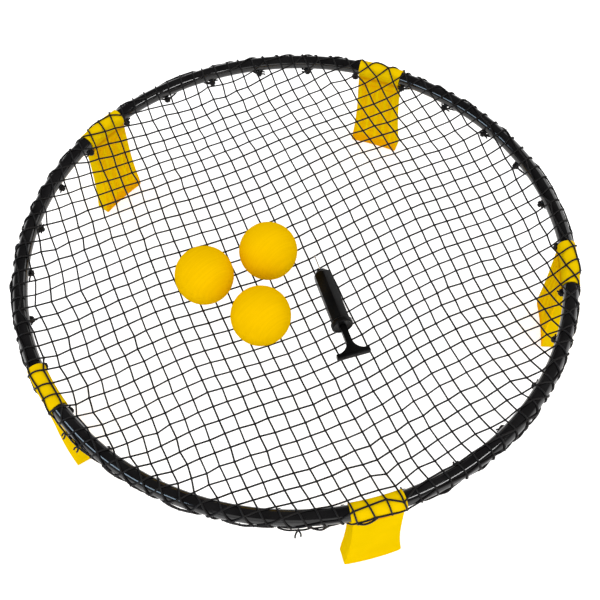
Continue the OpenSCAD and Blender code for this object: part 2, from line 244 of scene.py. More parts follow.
def noise(tree, vector, scale, detail=2.0, lacunarity=2.0):
    inputs = {"Vector": vector, "Scale": scale, "Detail": detail, "Lacunarity": lacunarity}
    return add_node(tree, "TexNoise", inputs).outputs[0]


def place_in(tree, kind="Object"):
    """The output with a surface point's own coordinates."""
    return add_node(tree, "TexCoord").outputs[kind]


def axes(tree, vector):
    """The three parts of a vector."""
    return tuple(add_node(tree, "SeparateXYZ", {0: vector}).outputs)


def bump(tree, height, strength, distance):
    inputs = {"Height": height, "Strength": strength, "Distance": distance}
    return add_node(tree, "Bump", inputs).outputs["Normal"]


def moulded_group():
    """Moulded plastic or rubber: fine grain, slow sink marks, and rubbed patches."""
    found = bpy.data.node_groups.get("Moulded surface")
    if found:
        return found
    tree = bpy.data.node_groups.new("Moulded surface", "ShaderNodeTree")
    for label in ("Vector", "Grain size", "Patch size", "Wear"):
        kind = "Vector" if label == "Vector" else "Float"
        tree.interface.new_socket(label, in_out="INPUT", socket_type=f"NodeSocket{kind}")
    for label in ("Height", "Patches", "Rub", "Tone"):
        tree.interface.new_socket(label, in_out="OUTPUT", socket_type="NodeSocketFloat")
    given = tree.nodes.new("NodeGroupInput").outputs
    fine = maths(tree, "DIVIDE", 1.0, given["Grain size"])
    slow = maths(tree, "DIVIDE", 1.0, given["Patch size"])
    patches = noise(tree, given["Vector"], slow)
    rub = remap(tree, noise(tree, given["Vector"], slow, 5, 3.1), 0, 1, 0.55, 0.8)
    fill(tree.nodes.new("NodeGroupOutput"), {
        "Height": noise(tree, given["Vector"], fine),
        "Patches": patches,
        "Rub": maths(tree, "MULTIPLY", rub, given["Wear"]),
        "Tone": remap(tree, patches, -1, 1, 0.3, 0.7),
    })
    arrange(tree)
    return tree


def moulded(name, base):
    """A moulded plastic or rubber: its colour drifts a little, and its gloss with rubbed patches."""
    rough, spread, grain, strength, depth, drift, wear, shine = FINISHES[name]
    material, tree, shader = new_material(name)
    inputs = {"Vector": place_in(tree), "Grain size": grain, "Patch size": PATCH_SIZE, "Wear": wear}
    surface = add_node(tree, "Group", inputs, node_tree=moulded_group()).outputs
    light = [min(1, c * (1 + drift) + drift * 0.02) for c in base]
    dark = [c * (1 - drift) for c in base]
    gloss = remap(tree, surface["Patches"], rough - spread, rough + spread, 0.3, 0.7)
    fill(shader, {
        "Base Color": mix_colour(tree, remap(tree, surface["Tone"], 0, 1, -1, 1), dark, light),
        "Roughness": maths(tree, "ADD", gloss, surface["Rub"], clamp=True),
        "Specular IOR Level": shine,
        "Normal": bump(tree, surface["Height"], strength, depth),
    })
    arrange(tree)
    return material


def dress(node, material):
    """Gives a CAD node that stays in view its material."""
    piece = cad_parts[node]
    piece.data.materials.clear()
    piece.data.materials.append(material)


# ---- Modelling helpers ----


def select_only(piece):
    bpy.ops.object.select_all(action="DESELECT")
    piece.select_set(True)
    bpy.context.view_layer.objects.active = piece


def primitive(kind, name, **values):
    """Adds a primitive with nothing else selected."""
    bpy.ops.object.select_all(action="DESELECT")
    getattr(bpy.ops.mesh, f"primitive_{kind}_add")(**values)
    piece = bpy.context.object
    piece.name = piece.data.name = name
    bpy.ops.object.transform_apply(location=True, rotation=True, scale=True)
    return piece


def apply_modifier(piece, kind, **values):
    """Adds a modifier with these settings and applies it."""
    select_only(piece)
    modifier = piece.modifiers.new(kind.title(), kind)
    for name, value in values.items():
        setattr(modifier, name, value)
    bpy.ops.object.modifier_apply(modifier=modifier.name)


def bevel(piece, width, angle, segments):
    """Rounds the edges that turn by more than an angle in degrees."""
    apply_modifier(piece, "BEVEL", width=width, segments=segments, limit_method="ANGLE",
                   angle_limit=radians(angle))


def combine(piece, tool, operation):
    """Boolean of piece with tool, which is used up."""
    apply_modifier(piece, "BOOLEAN", object=tool, operation=operation, solver="EXACT")
    bpy.data.objects.remove(tool)


def reshape(piece, shape):
    """Moves a mesh's points: shape takes and gives an array of places."""
    co = np.zeros(len(piece.data.vertices) * 3)
    piece.data.vertices.foreach_get("co", co)
    piece.data.vertices.foreach_set("co", shape(co.reshape(-1, 3)).ravel())
    piece.data.update()


def edit(piece, operator, **values):
    """Runs a mesh operator in edit mode with everything selected."""
    select_only(piece)
    bpy.ops.object.mode_set(mode="EDIT")
    bpy.ops.mesh.select_all(action="SELECT")
    getattr(bpy.ops.mesh, operator)(**values)
    bpy.ops.object.mode_set(mode="OBJECT")


def smooth(piece, angle):
    """Shades smooth, but for the edges that turn by more than an angle in degrees."""
    select_only(piece)
    bpy.ops.object.shade_smooth_by_angle(angle=radians(angle))


def add_object(name, data):
    """A new object of the scene."""
    piece = bpy.data.objects.new(name, data)
    bpy.context.scene.collection.objects.link(piece)
    return piece


def rotation(degrees, axis="Z"):
    return Matrix.Rotation(radians(degrees), 4, axis)


def turned(piece, name, matrix):
    """A copy of a piece with its own mesh, moved by a matrix."""
    copy = piece.copy()
    copy.data = piece.data.copy()
    copy.name = copy.data.name = name
    copy.data.transform(matrix)
    bpy.context.scene.collection.objects.link(copy)
    return copy


def step_up(value, start, end):
    """0 below start, 1 above end, smooth between."""
    t = np.clip((value - start) / (end - start), 0, 1)
    return t * t * (3 - 2 * t)


def heading(turn):
    """The unit vector straight out from the rim's axis at an angle."""
    return np.array([cos(turn), sin(turn), 0.0])


def polar(places):
    """How far places lie from the rim's axis, and their angles round it."""
    x, y = places[..., 0], places[..., 1]
    return np.hypot(x, y), np.arctan2(y, x)


def from_polar(out, turn, height):
    """Places at these distances from the rim's axis, angles and heights."""
    return np.stack(np.broadcast_arrays(out * np.cos(turn), out * np.sin(turn), height), -1)


def leg_distance(theta):
    """Angle to the middle of the nearest leg."""
    return np.abs((theta + LEG_STEP / 2) % LEG_STEP - LEG_STEP / 2)


# ---- Legs ----

# The block under the sleeve, in mm: its rows of points, and its faces from the tube's middle
LEG_ROWS = (0, 2.5, 5, 10, 18, 26, 28.5, 30.5, 32.5, 34.5, 45, 60, 75, 90, 105, 120, 135, 150, 157, 160,
            162.5, 165, 172, 180)
LEG_COLUMNS = 40
BLOCK_TOP = 188.0
LEG_HALF = 38.0
INNER_FACE, INNER_SLOPE = -13.6, 2.6
OUTER_FACE, OUTER_SLOPE = 12.7, 0.8
FOOT_HALF = 47.0
FOOT_CORNER = 6.5
FLARE_Z = 122.0
FOOT_Z = 26.0

# Its cavity and the sunk panel of its inner face, in mm
LEG_WALL = 3.0
CAVITY_TOP = 171.6
PANEL_HALF, PANEL_EDGE = 28.0, 2.5
PANEL_FOOT = (28.5, 32.5)
PANEL_TOP, PANEL_TOP_EDGE = 165, 5
PANEL_DEPTH = 2.1
RIB_STEP = 17.0
RIB_HALF = 3.6
RIB_RISE = 0.9

# The sleeve, its sockets and the two webs
SOCKET_R = TUBE_R + 0.0002
SLEEVE_HALF = 0.040 / RIM_R
STOP_HALF = 0.0015 / RIM_R
WEB_OFF, WEB_Z = 0.014, 0.088
WEB_SIZE = (0.0225, 0.002, 0.168)
BAR_SIDES, BAR_CUTS = 64, 24

# Painted light and shade of the walls: the ribs' painted highlight colour and the painted shade colour under
# the sleeve, with their heights; a painted shade band's height, strength and reach
RIB_HIGHLIGHT_COLOUR = (1.0, 0.70, 0.0)
SLEEVE_SHADOW_COLOUR = (0.72, 0.27, 0.0)
INNER_WALL = (RIM_R - 0.0112, RIM_R - 0.0090)
FOOT_EDGE = (0.022, 0.030)
WALL_TOP = (0.166, 0.178)
SHADE_BAND = (0.162, 0.6, 0.002, 0.008)
SLEEVE_SHADOW_BAND = (0.1765, 0.8, 0.0020, 0.0065)


def leg_half(z, inset):
    """Half the leg's width at a height, in mm."""
    widen = FOOT_HALF - LEG_HALF
    flare_r = (FLARE_Z**2 + widen**2) / (2 * widen)
    below = np.clip(FLARE_Z - z, 0, None)
    return LEG_HALF - inset + flare_r - np.sqrt(flare_r**2 - below**2)


def rib_relief(y, z):
    """Depth of the sunk panel in the inner face, with its three soft ribs, in mm."""
    panel = step_up(PANEL_HALF - np.abs(y), 0, PANEL_EDGE) * step_up(z, *PANEL_FOOT)
    panel = panel * step_up(PANEL_TOP - z, 0, PANEL_TOP_EDGE)
    rib = sum(np.exp(-(((y - k * RIB_STEP) / RIB_HALF) ** 4)) for k in (-1, 0, 1))
    return PANEL_DEPTH * panel * (1 - RIB_RISE * rib)


def leg_block(name, inset=0.0, top=BLOCK_TOP, floor=0.0):
    """A leg's block as a grid drawn out from the inner to the outer face, smaller all round by inset."""
    rows = np.array([z for z in LEG_ROWS if z < top] + [top])
    rows[0] = floor
    grid = primitive("grid", name, x_subdivisions=LEG_COLUMNS, y_subdivisions=len(rows) - 1, size=2)
    edit(grid, "extrude_region_move", TRANSFORM_OT_translate={"value": (0, 0, 1)})

    def shape(p):
        z = rows[np.rint((p[:, 1] + 1) / 2 * (len(rows) - 1)).astype(int)]
        half = leg_half(np.clip(z, 0, None), inset)
        y = p[:, 0] * half
        inner, foot = p[:, 2] < 0.5, np.clip(1 - z / FOOT_Z, 0, 1)
        x = np.where(inner, INNER_FACE + inset + INNER_SLOPE * foot, OUTER_FACE - inset + OUTER_SLOPE * foot)
        if not inset:
            x = x + np.where(inner, rib_relief(y, z), 0)
            corner = half - FOOT_CORNER
            dy, dz = np.abs(y) - corner, FOOT_CORNER - z
            out = np.where((dy > 0) & (dz > 0), np.hypot(dy, dz) / FOOT_CORNER, 1)
            beyond = out > 1
            y = np.where(beyond, np.sign(y) * (corner + dy / out), y)
            z = np.where(beyond, FOOT_CORNER - dz / out, z)
        r = RIM_R / MM + x
        return np.stack([np.sqrt(r**2 - y**2), y, z], 1) * MM

    reshape(grid, shape)
    edit(grid, "normals_make_consistent", inside=False)
    return grid


def bent_bar(name, radius, start, end):
    """A round bar along the rim's middle line, between two angles from the leg's middle."""
    bar = primitive("cylinder", name, vertices=BAR_SIDES, radius=radius, depth=2, end_fill_type="NGON")
    for k in range(1, BAR_CUTS):
        edit(bar, "bisect", plane_co=(0, 0, -1 + 2 * k / BAR_CUTS), plane_no=UP)

    def shape(p):
        turn = start + (p[:, 2] + 1) / 2 * (end - start)
        return from_polar(RIM_R + p[:, 0], turn, TUBE_Z + p[:, 1])

    reshape(bar, shape)
    edit(bar, "normals_make_consistent", inside=False)
    return bar


def paint_leg_shading(material, inner, foot):
    """Paints light and shade into the legs' colour: painted shade deepens it on the wall that faces the rim's
    middle, more on its sloped foot and in a band under the sleeve, painted highlights lighten the ribs, and a
    painted shade band runs round the leg just under the sleeve.
    """
    tree, shader, plain = base_colour(material)
    x, y, z = axes(tree, place_in(tree))
    square = maths(tree, "ADD", maths(tree, "MULTIPLY", x, x), maths(tree, "MULTIPLY", y, y))
    near = remap(tree, maths(tree, "SQRT", square), 1, 0, *INNER_WALL)
    # Painted highlight: lighter colour in stripes over the three ribs of the sunk panel
    turn = maths(tree, "DIVIDE", maths(tree, "ARCTAN2", y, x), LEG_STEP)
    off = maths(tree, "SUBTRACT", turn, maths(tree, "ROUND", turn))
    wave = maths(tree, "COSINE", maths(tree, "MULTIPLY", off, 2 * pi * LEG_STEP * RIM_R / MM / RIB_STEP))
    lit_ribs = mix_colour(tree, remap(tree, wave, 0, 0.8, 0.1, 0.9), inner, RIB_HIGHLIGHT_COLOUR)
    # Painted shade: the foot's deeper orange in a band near the top of the inner wall, just under the sleeve
    plane = mix_colour(tree, band(tree, z, *SHADE_BAND), lit_ribs, foot)
    # Painted shade: the foot's deeper orange low down on the sloped foot
    wall = mix_colour(tree, remap(tree, z, 1, 0, *FOOT_EDGE), plane, foot)
    mask = maths(tree, "MULTIPLY", near, remap(tree, z, 1, 0, *WALL_TOP))
    # Painted shade: a dark orange band round the leg just under the sleeve
    outer = mix_colour(tree, band(tree, z, *SLEEVE_SHADOW_BAND), plain, SLEEVE_SHADOW_COLOUR)
    fill(shader, {"Base Color": mix_colour(tree, mask, outer, wall)})
    arrange(tree)


def leg_piece(look):
    """One leg, on the X axis: sleeve with its two sockets, and a hollow block open at the floor."""
    leg = leg_block("leg")
    bevel(leg, look.leg_round, 50, 3)
    combine(leg, bent_bar("sleeve", SLEEVE_R, -SLEEVE_HALF, SLEEVE_HALF), "UNION")
    combine(leg, leg_block("cavity", LEG_WALL, CAVITY_TOP, -1.0), "DIFFERENCE")
    for side in (-1, 1):
        combine(leg, bent_bar("socket", SOCKET_R, side * STOP_HALF, side * 2 * SLEEVE_HALF), "DIFFERENCE")
    for side in (-1, 1):
        web = primitive("cube", "web", size=1, location=(RIM_R, side * WEB_OFF, WEB_Z), scale=WEB_SIZE)
        combine(leg, web, "UNION")
    smooth(leg, 38)
    return leg


# ---- Pump ----

# How the pump lies, in degrees, with the roll of its barrel
PUMP_TURN = -70.0
PUMP_TILT = 2.296
PUMP_ROLL = -31.0

# The pump's own direction, from its needle to its handle, and the middle of its round cup
PUMP_AXIS = Vector(heading(radians(PUMP_TURN)) * cos(radians(PUMP_TILT)) + UP * sin(radians(PUMP_TILT)))
CUP_LOW, CUP_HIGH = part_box("pump_cup_seal")
PUMP_MIDDLE = (Vector(CUP_LOW) + Vector(CUP_HIGH)) / 2

# The handle along the pump's axis, in metres: bar, flare as it comes and as drawn, neck, grooves
BAR_L = 0.007
FLARE_L = 0.028
TIGHT_FLARE_L = 0.019
NECK_L = 0.045
GROOVES = (0.0024, 0.0050)
GROOVE_SIZE = (0.0009, 0.08, 0.0016)


def merged_copy(node, flat):
    """A copy of a CAD node with its doubled points joined, and its faces within flat degrees too."""
    piece = turned(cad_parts[node], f"moulded_{node}", Matrix.Identity(4))
    piece.data.materials.clear()
    edit(piece, "remove_doubles", threshold=0.00001)
    if flat:
        edit(piece, "dissolve_limited", angle_limit=radians(flat))
    return piece


def rolled(p):
    """Rolls the six-sided barrel about the pump's axis, to how it lies."""
    middle = np.array(PUMP_MIDDLE)
    roll = np.array(Matrix.Rotation(radians(PUMP_ROLL), 3, PUMP_AXIS))
    return (p - middle) @ roll.T + middle


def tighter_flare(p):
    """Draws the handle's flare together towards its bar."""
    axis = np.array(PUMP_AXIS)
    along = p @ axis
    bar = along.max() - BAR_L
    start, neck = bar - FLARE_L, bar - NECK_L
    new = np.interp(along, [along.min(), neck, start, bar, bar + BAR_L],
                    [along.min(), neck, bar - TIGHT_FLARE_L, bar, bar + BAR_L])
    return p + np.outer(new - along, axis)


def handle_groove(back):
    """A cutter for a groove along the handle's bar, that far from its back."""
    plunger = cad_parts["pump_plunger"]
    end = max((plunger.matrix_world @ v.co) @ PUMP_AXIS for v in plunger.data.vertices)
    place = PUMP_MIDDLE + PUMP_AXIS * (end - back - PUMP_MIDDLE @ PUMP_AXIS)
    place.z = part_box("pump_plunger")[1].z
    cutter = primitive("cube", "groove", size=1, scale=GROOVE_SIZE)
    cutter.data.transform(Matrix.Translation(place) @ rotation(PUMP_TURN))
    return cutter


# ---- Net: how it settles over the rim ----

# The rim's middle line in mm
RIM, TUBE_LINE = RIM_R / MM, TUBE_Z / MM

# The flat net: where crossing (0, 0) lies, the steps to the next ones, and the drift at the rim
SPAN = 44
FIRST = (123.0, 99.2)
STEP_I, STEP_J = (20.7, 11.65), (-10.2, 21.85)
DRIFT = (3.0, 31.6)
# Waves along i and j: heading in degrees, height and its growth, first crest and length in meshes
WAVES = ((115, 6.0, -1.3, 0.93, 18.6), (29, 4.0, 10.7, 1.85, 28))

# Radii in the flat: where it starts to rise, is cut, is tied to the hooks and has its edge
RISE_R, CUT_R, HOOK_R, TIED_R, EDGE_R = 300, 483, 488, 468, 462
# Over a leg: how much more is cut off, within which angle, and how softly
LEG_CUT, LEG_TURN, LEG_EASE = 8, 0.085, 0.03
EDGE_TURN = radians(2.7)

# Unevenness: calm within a radius, then growing outwards, and more at the slack left side
CALM_R, LOOSE_RUN, LOOSE_X = 230, 200, -100
LOOSE = (0.36, 0.75, 0.5)
STAGGER = 0.35
TIGHT = (0.945, 1.0)

# Settling: pieces to a mesh, hook's reach, and per step the fall, a slack cord's push and the stiffness
PIECES = 4
HOOK_OUT = 16.5
FREE_RUN = 120
PULL_SHARE, FALL, SLACK_PUSH, STIFF = 0.3, 0.03, 0.3, 0.12

# What cords may not enter: a gap over the tube, the sleeve's half length, the leg's block
GAP = 0.1
SLEEVE_EDGE = 40.5
LEG_BELOW, LEG_OUT, LEG_IN, LEG_EDGE = -2, 14.0, 15.0, 39.5

# The pump on the net: its run from the cup, its cap's start, the radii that lie on the net, the dent
PUMP_RUN, CAP_START = (-18, 92), 80
CAP_LIES, BARREL_LIES, CORD_LIES, DENT = 17.2, 15.5, 2.2, 24


class Net:
    """Crossings and cords of the net in the rim's frame, in mm.

    A crossing (i, j) is first placed in the flat, with the drift of a net that was stretched by hand, and
    what lies beyond the rim's top is wound round the tube's outside. Every side of a mesh is a chain of
    short pieces.
    """

    def __init__(self, look):
        self.cord = look.cord_d / MM
        self.tail = look.tail / MM
        self.scale = look.mesh / 0.0240
        self.tube_r = TUBE_R / MM + self.cord / 2 + GAP
        self.sleeve_r = SLEEVE_R / MM + self.cord / 2 + GAP
        self.sleeve_half = SLEEVE_EDGE / RIM
        self.top = NET_TOP / MM - self.cord / 2
        self.rng = np.random.default_rng(7)
        self.lay_out()
        self.chains()
        self.settle(look.steps)
        self.press()

    def flat(self, i, j):
        """Places of crossings in the flat net."""
        i, j = np.asarray(i, float), np.asarray(j, float)
        p = (FIRST + i[..., None] * STEP_I + j[..., None] * STEP_J) * self.scale
        q = (p**2).sum(-1) / RIM**2
        p = p + q[..., None] * DRIFT
        for count, (turn, height, growth, crest, size) in zip((i, j), WAVES):
            along = heading(radians(turn))[:2]
            swell = height + growth * (p @ along / RIM)
            p = p + (swell * np.cos(2 * pi * (count - crest) / size))[..., None] * along
        return p

    def press(self):
        """Lowers the net by the little that the pump's barrel and cap push it down."""
        middle, axis = np.array(PUMP_MIDDLE) / MM, np.array(PUMP_AXIS)
        along = np.clip((self.points - middle) @ axis, *PUMP_RUN)
        line = middle + np.outer(along, axis)
        under = line[:, 2] - np.where(along > CAP_START, CAP_LIES, BARREL_LIES)
        deep = np.maximum(self.points[:, 2] + CORD_LIES - under, 0)
        off = norm(self.points[:, :2] - line[:, :2], axis=1)
        self.points[:, 2] -= deep * np.exp(-((off / DENT) ** 2))

    def wrap_r(self, theta):
        """Distance of a cord's middle from the tube's, over a tube or over a leg's sleeve."""
        return np.where(leg_distance(theta) < self.sleeve_half, self.sleeve_r, self.tube_r)

    def over_rim(self, p):
        """Winds flat places round the rim."""
        rho, theta = polar(p)
        wrap = self.wrap_r(theta)
        z = self.top + (TUBE_LINE + wrap - self.top) * step_up(rho, RISE_R, RIM)
        phi = pi / 2 - np.maximum(rho - RIM, 0) / wrap
        out = np.where(rho > RIM, RIM + wrap * np.cos(phi), rho)
        z = np.where(rho > RIM, TUBE_LINE + wrap * np.sin(phi), z)
        return from_polar(out, theta, z)

    def lay_out(self):
        """Keeps the crossings inside the cut, and ties one to each hook."""
        span = range(-SPAN, SPAN + 1)
        ij = np.array([(i, j) for i in span for j in span])
        p = self.flat(*ij.T)
        rho, theta = polar(p)
        near_leg = np.clip(1 - (leg_distance(theta) - LEG_TURN) / LEG_EASE, 0, 1)
        keep = rho < CUT_R - LEG_CUT * near_leg
        self.hooks = {}
        for turn in HOOK_TURNS:
            near = norm(p - HOOK_R * heading(turn)[:2], axis=1)
            for k in np.argsort(near):
                if rho[k] > TIED_R and tuple(ij[k]) not in self.hooks:
                    break
            keep[k] = True
            self.hooks[tuple(ij[k])] = turn
        kept = {tuple(c) for c in ij[keep]}
        for _ in range(3):
            kept -= {
                (i, j) for i, j in kept - set(self.hooks)
                if sum(c in kept for c in ((i + 1, j), (i - 1, j), (i, j + 1), (i, j - 1))) < 2
            }
        self.index = {c: k for k, c in enumerate(sorted(kept))}
        self.laid = self.flat(*np.array(list(self.index)).T)

    def chains(self):
        """Rows of points along every cord, with cut ends past the last crossings."""
        calm, grow, left = LOOSE
        ij, flat = np.array(list(self.index)), self.laid
        outer = np.clip((polar(flat)[0] - CALM_R) / LOOSE_RUN, 0, 1)
        loose = calm + (grow + left * (flat[:, 0] < LOOSE_X)) * outer
        flat = flat + self.rng.normal(0, 1, flat.shape) * loose[:, None]
        flat += STAGGER * (1 - 2 * ((ij[:, :1] + ij[:, 1:]) % 2)) * (0.8, -0.6)
        points = list(flat)

        def cut_end(last, before, reach, halves):
            """Two points past a cord's last crossing."""
            ahead = (flat[last] - flat[before]) / norm(flat[last] - flat[before])
            points.extend(flat[last] + ahead * reach * k / 2 for k in halves)
            return [len(points) - 2, len(points) - 1]

        self.paths, links = [], [[], [], [], []]
        for axis, (di, dj) in enumerate(((1, 0), (0, 1))):
            for c in self.index:
                if (c[0] - di, c[1] - dj) in self.index:
                    continue
                run = []
                while c in self.index:
                    run.append(self.index[c])
                    c = (c[0] + di, c[1] + dj)
                if len(run) < 2:
                    continue
                reach = self.tail * self.rng.uniform(0.3, 1.1, 2)
                row, tight = cut_end(run[0], run[1], reach[0], (2, 1)), [1.0, 1.0]
                for a, b in zip(run, run[1:]):
                    row.append(a)
                    for k in range(1, PIECES):
                        points.append(flat[a] + (flat[b] - flat[a]) * k / PIECES)
                        row.append(len(points) - 1)
                    tight += [self.rng.uniform(*TIGHT)] * PIECES
                row += [run[-1], *cut_end(run[-1], run[-2], reach[1], (1, 2))]
                tight += [1.0, 1.0]
                self.paths.append(row)
                for k, link in enumerate(zip(row, row[1:], tight)):
                    links[k % 2 + 2 * axis].append(link)
        flat = np.array(points)
        self.batches = []
        for batch in links:
            a, b, tight = (np.array(column) for column in zip(*batch))
            self.batches.append((a, b, norm(flat[a] - flat[b], axis=1) * tight))
        self.flat_r = polar(flat)[0]
        self.points = self.over_rim(flat)
        self.bend = np.array([(a, b, c) for r in self.paths for a, b, c in zip(r, r[1:], r[2:])])

    def settle(self, steps):
        """Pulls the cords onto the hooks and lets them come to rest on the tubes, sleeves and legs."""
        x = self.points
        free = np.clip((self.flat_r - CALM_R) / FREE_RUN, 0.0, 1.0)
        reach = HOOK_OUT * sqrt(0.5)
        keys = np.array([self.index[c] for c in self.hooks])
        places = np.array([heading(turn) * (RIM - reach) for turn in self.hooks.values()])
        places[:, 2] = TUBE_LINE - reach
        free[keys] = 0
        from_place = x[keys]
        a, b, c = self.bend[self.bend[:, 1] >= len(self.index)].T
        for step in range(steps):
            pull = min(1.0, step / (PULL_SHARE * steps))
            x[keys] = from_place + (places - from_place) * pull
            x[:, 2] -= FALL * free
            for p, q, rest in self.batches:
                d = x[q] - x[p]
                size = norm(d, axis=1)
                wp, wq = free[p], free[q]
                total = np.maximum(wp + wq, 1e-9)
                stretch = size - rest
                stretch = np.where(stretch > 0, stretch, SLACK_PUSH * stretch)
                move = d * (stretch / np.maximum(size, 1e-9) / total)[:, None]
                x[p] += move * wp[:, None]
                x[q] -= move * wq[:, None]
            x[b] += (0.5 * (x[a] + x[c]) - x[b]) * (STIFF * free[b])[:, None]
            self.keep_out(x, free)

    def edge(self):
        """Places along the net's edge: its outermost crossing in each small turn of the rim."""
        rho, theta = polar(self.laid)
        bins = np.floor((theta % (2 * pi)) / EDGE_TURN).astype(int)
        outer = np.flatnonzero(rho > EDGE_R)
        picks = [max(outer[bins[outer] == n], key=lambda k: rho[k]) for n in sorted(set(bins[outer]))]
        places = self.points[picks]
        for leg in range(LEGS):
            middle = leg * LEG_STEP
            out, theta = polar(places)
            off = (theta - middle + pi) % (2 * pi) - pi
            over = np.flatnonzero(np.abs(off) < OVER_LEG)
            over = over[np.argsort(off[over])]
            turn = middle + np.linspace(off[over[0]], off[over[-1]], len(over))
            places[over] = from_polar(out[over].max(), turn, places[over, 2].min())
        return places

    def keep_out(self, x, free):
        """Moves points that have sunk into a tube, a sleeve or a leg back to its surface."""
        out, theta = polar(x)
        wrap = self.wrap_r(theta)
        dr, dz = out - RIM, x[:, 2] - TUBE_LINE
        d = np.maximum(np.hypot(dr, dz), 1e-6)
        grow = np.where((d < wrap) & (free > 0), wrap / d, 1.0)
        dr, dz = dr * grow, dz * grow
        across = leg_distance(theta) * RIM
        inside = (across < LEG_EDGE) & (dz < LEG_BELOW) & (free > 0)
        inside &= (dr < LEG_OUT) & (dr > -LEG_IN)
        x[:] = from_polar(RIM + np.where(inside, LEG_OUT, dr), theta, TUBE_LINE + dz)


# The net's edge: the angle from a leg's middle within which it is drawn tight, and its cord
OVER_LEG = 0.1
EDGE_SAG = 0.0008
EDGE_PIECES = 6
CORD_SIDES = 6

# A knot: its rings of points, and its shape as parts of its size
KNOT_RINGS = 3
KNOT_SHAPE = (0.58, 0.44, 0.40)

# Turns of cord on a hook's stem, from the tube's middle line along the stem
STEM_R = 0.0030
LOOP_START, LOOP_RUN = 0.0142, 0.0052
LOOP_TURNS = (1.9, 2.6)
END_START, END_APART = 0.0150, 0.004
END_REACH = (0.005, 0.009)
END_CURL = 0.004

# Slack loops of the net's edge: start and end round the rim in degrees, how far it hangs, and which of its
# points have a knot with two cut ends
SLACK = ((221, 233, 0.0060, (9, 17)), (270, 276, 0.0060, (15,)), (317, 321, 0.0045, ()),
         (321.5, 326, 0.0050, ()), (348.5, 352.5, 0.0060, ()), (359.5, 362.5, 0.0020, (12,)))
SLACK_POINTS = 26
SLACK_SIDE = radians(-28)
SLACK_CLEAR = 0.0012
FORK_REACH = (0.009, 0.013)


def threaded(places, rng):
    """A closed cord through these places, hanging a little between them, but tight across the legs."""
    count = len(places)
    rows = []
    for k in range(count):
        a, b, c, d = (places[(k + n) % count] for n in (-1, 0, 1, 2))
        t = np.linspace(0, 1, EDGE_PIECES, endpoint=False)[:, None]
        bow = (2 * a - 5 * b + 4 * c - d) * t**2 + (3 * b - a - 3 * c + d) * t**3
        curve = 0.5 * (2 * b + (c - a) * t + bow)
        slack = float(leg_distance(atan2(b[1], b[0])) > OVER_LEG)
        curve[:, 2:] -= EDGE_SAG * slack * rng.uniform(0.2, 1.0) * np.sin(pi * t)
        rows.append(curve)
    path = np.concatenate(rows)
    return np.concatenate([path, path[:1]])


def tube_mesh(name, paths, radius, closed_ends=True):
    """Round tubes along paths in metres, with their own UV: round the tube, and the length along it in mm."""
    verts, faces, uvs = [], [], []
    sides = CORD_SIDES
    turn = np.linspace(0, 2 * pi, sides, endpoint=False)
    for path in paths:
        tangent = np.gradient(path, axis=0)
        tangent /= np.maximum(norm(tangent, axis=1), 1e-12)[:, None]
        side = np.cross(tangent[0], UP)
        if norm(side) < 0.1:
            side = np.cross(tangent[0], (1.0, 0.0, 0.0))
        run = np.concatenate([[0], np.cumsum(norm(np.diff(path, axis=0), axis=1))]) / MM
        start = len(verts)
        for p, t in zip(path, tangent):
            side = side - t * (side @ t)
            side /= norm(side)
            up = np.cross(t, side)
            verts.extend(p + radius * (cos(a) * side + sin(a) * up) for a in turn)
        for k in range(len(path) - 1):
            a, b = start + k * sides, start + (k + 1) * sides
            for s in range(sides):
                n = (s + 1) % sides
                faces.append((a + s, a + n, b + n, b + s))
                u, v = s / sides, (s + 1) / sides
                uvs += [(u, run[k]), (v, run[k]), (v, run[k + 1]), (u, run[k + 1])]
        if closed_ends:
            last = start + (len(path) - 1) * sides
            faces.append(tuple(range(start + sides - 1, start - 1, -1)))
            faces.append(tuple(range(last, last + sides)))
            uvs += [(0.5, run[0])] * sides + [(0.5, run[-1])] * sides
    return mesh_object(name, verts, faces, uvs)


def mesh_object(name, verts, faces, uvs=()):
    """A smooth mesh object with a UV layer for its cord."""
    mesh = bpy.data.meshes.new(name)
    mesh.from_pydata([tuple(v) for v in verts], [], faces)
    layer = mesh.uv_layers.new(name="cord")
    if uvs:
        layer.data.foreach_set("uv", np.array(uvs, np.float32).ravel())
    mesh.polygons.foreach_set("use_smooth", [True] * len(faces))
    mesh.update()
    return add_object(name, mesh)


def knot_mesh(name, places, size, rng):
    """A small lumpy knot at every place."""
    sides = CORD_SIDES
    unit, faces = [UP], []
    for r in range(1, KNOT_RINGS + 1):
        a = pi * r / (KNOT_RINGS + 1)
        unit += [sin(a) * heading(2 * pi * s / sides) + UP * cos(a) for s in range(sides)]
    unit.append(-UP)
    for s in range(sides):
        n = (s + 1) % sides
        faces.append((0, 1 + s, 1 + n))
        for r in range(KNOT_RINGS - 1):
            a, b = 1 + r * sides, 1 + (r + 1) * sides
            faces.append((a + s, b + s, b + n, a + n))
        last = 1 + (KNOT_RINGS - 1) * sides
        faces.append((len(unit) - 1, last + n, last + s))
    unit = np.array(unit)
    verts, all_faces = [], []
    for place in places:
        turn = rng.uniform(0, pi)
        spin = np.array([[cos(turn), -sin(turn), 0], [sin(turn), cos(turn), 0], UP])
        shape = unit * KNOT_SHAPE * rng.uniform(0.88, 1.12, (len(unit), 1))
        base = len(verts)
        verts.extend(shape @ spin.T * size + place)
        all_faces += [tuple(base + k for k in f) for f in faces]
    return mesh_object(name, verts, all_faces)


